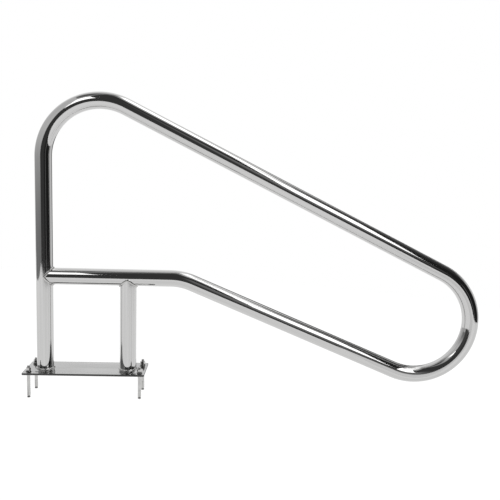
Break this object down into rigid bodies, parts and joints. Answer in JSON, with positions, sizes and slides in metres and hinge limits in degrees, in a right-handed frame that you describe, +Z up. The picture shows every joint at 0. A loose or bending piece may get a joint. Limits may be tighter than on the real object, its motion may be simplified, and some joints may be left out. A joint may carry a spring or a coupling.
{
  "type": "pool handrail",
  "caption": "Deck-mounted pool handrail: a bent polished stainless tube with a sloping hand rail and return rail, on a support post and drilled base plate held by sleeve anchors.",
  "frame": {"origin": "centre of the base plate's underside, on the deck", "axes": "+X along the rail towards its far end, +Y across it, +Z up; the tube's centreline lies in the plane y = 0"},
  "size_m": [1.3399, 0.12, 0.8817],
  "materials": {
    "rail_steel": "mirror-polished stainless steel tube",
    "plate_steel": "polished stainless steel plate with a fine lengthwise grain",
    "weld_steel": "polished weld bead with a soft ripple",
    "anchor_steel": "plain bright stainless steel hardware"
  },
  "bodies": {
    "root": {"base_plate": "plate_steel", "rail_tube": "rail_steel", "support_post": "rail_steel", "weld_rail_to_plate": "weld_steel", "weld_support_to_plate": "weld_steel", "weld_crossbar_to_rail": "weld_steel", "weld_support_to_crossbar": "weld_steel"},
    "anchor_1": {"anchor_sleeve_1": "anchor_steel", "flat_washer_1": "anchor_steel", "spring_washer_1": "anchor_steel"},
    "nut_1": {"hex_nut_1": "anchor_steel"},
    "stud_1": {"anchor_stud_1": "anchor_steel"},
    "anchor_2": {"anchor_sleeve_2": "anchor_steel", "flat_washer_2": "anchor_steel", "spring_washer_2": "anchor_steel"},
    "nut_2": {"hex_nut_2": "anchor_steel"},
    "stud_2": {"anchor_stud_2": "anchor_steel"},
    "anchor_3": {"anchor_sleeve_3": "anchor_steel", "flat_washer_3": "anchor_steel", "spring_washer_3": "anchor_steel"},
    "nut_3": {"hex_nut_3": "anchor_steel"},
    "stud_3": {"anchor_stud_3": "anchor_steel"},
    "anchor_4": {"anchor_sleeve_4": "anchor_steel", "flat_washer_4": "anchor_steel", "spring_washer_4": "anchor_steel"},
    "nut_4": {"hex_nut_4": "anchor_steel"},
    "stud_4": {"anchor_stud_4": "anchor_steel"}
  },
  "joints": [
    {"name": "anchor_1_lift", "type": "slide", "parent": "root", "child": "anchor_1", "axis": [0, 0, 1], "range_m": [0, 0.12]},
    {"name": "stud_1_draw", "type": "slide", "parent": "anchor_1", "child": "stud_1", "axis": [0, 0, 1], "range_m": [0, 0.0025]},
    {"name": "nut_1_turn", "type": "hinge", "parent": "anchor_1", "child": "nut_1", "pos_m": [-0.16, -0.04, 0.0138], "axis": [0, 0, -1], "range_deg": [0, 720.5]},
    {"name": "anchor_2_lift", "type": "slide", "parent": "root", "child": "anchor_2", "axis": [0, 0, 1], "range_m": [0, 0.12]},
    {"name": "stud_2_draw", "type": "slide", "parent": "anchor_2", "child": "stud_2", "axis": [0, 0, 1], "range_m": [0, 0.0025]},
    {"name": "nut_2_turn", "type": "hinge", "parent": "anchor_2", "child": "nut_2", "pos_m": [0.16, -0.04, 0.0138], "axis": [0, 0, -1], "range_deg": [0, 720.5]},
    {"name": "anchor_3_lift", "type": "slide", "parent": "root", "child": "anchor_3", "axis": [0, 0, 1], "range_m": [0, 0.12]},
    {"name": "stud_3_draw", "type": "slide", "parent": "anchor_3", "child": "stud_3", "axis": [0, 0, 1], "range_m": [0, 0.0025]},
    {"name": "nut_3_turn", "type": "hinge", "parent": "anchor_3", "child": "nut_3", "pos_m": [0.16, 0.04, 0.0138], "axis": [0, 0, -1], "range_deg": [0, 720.5]},
    {"name": "anchor_4_lift", "type": "slide", "parent": "root", "child": "anchor_4", "axis": [0, 0, 1], "range_m": [0, 0.12]},
    {"name": "stud_4_draw", "type": "slide", "parent": "anchor_4", "child": "stud_4", "axis": [0, 0, 1], "range_m": [0, 0.0025]},
    {"name": "nut_4_turn", "type": "hinge", "parent": "anchor_4", "child": "nut_4", "pos_m": [-0.16, 0.04, 0.0138], "axis": [0, 0, -1], "range_deg": [0, 720.5]}
  ],
  "couplings": [
    {"joint": "nut_1_turn", "follows": "stud_1_draw", "rad_per_m": 5026.5},
    {"joint": "nut_2_turn", "follows": "stud_2_draw", "rad_per_m": 5026.5},
    {"joint": "nut_3_turn", "follows": "stud_3_draw", "rad_per_m": 5026.5},
    {"joint": "nut_4_turn", "follows": "stud_4_draw", "rad_per_m": 5026.5}
  ]
}
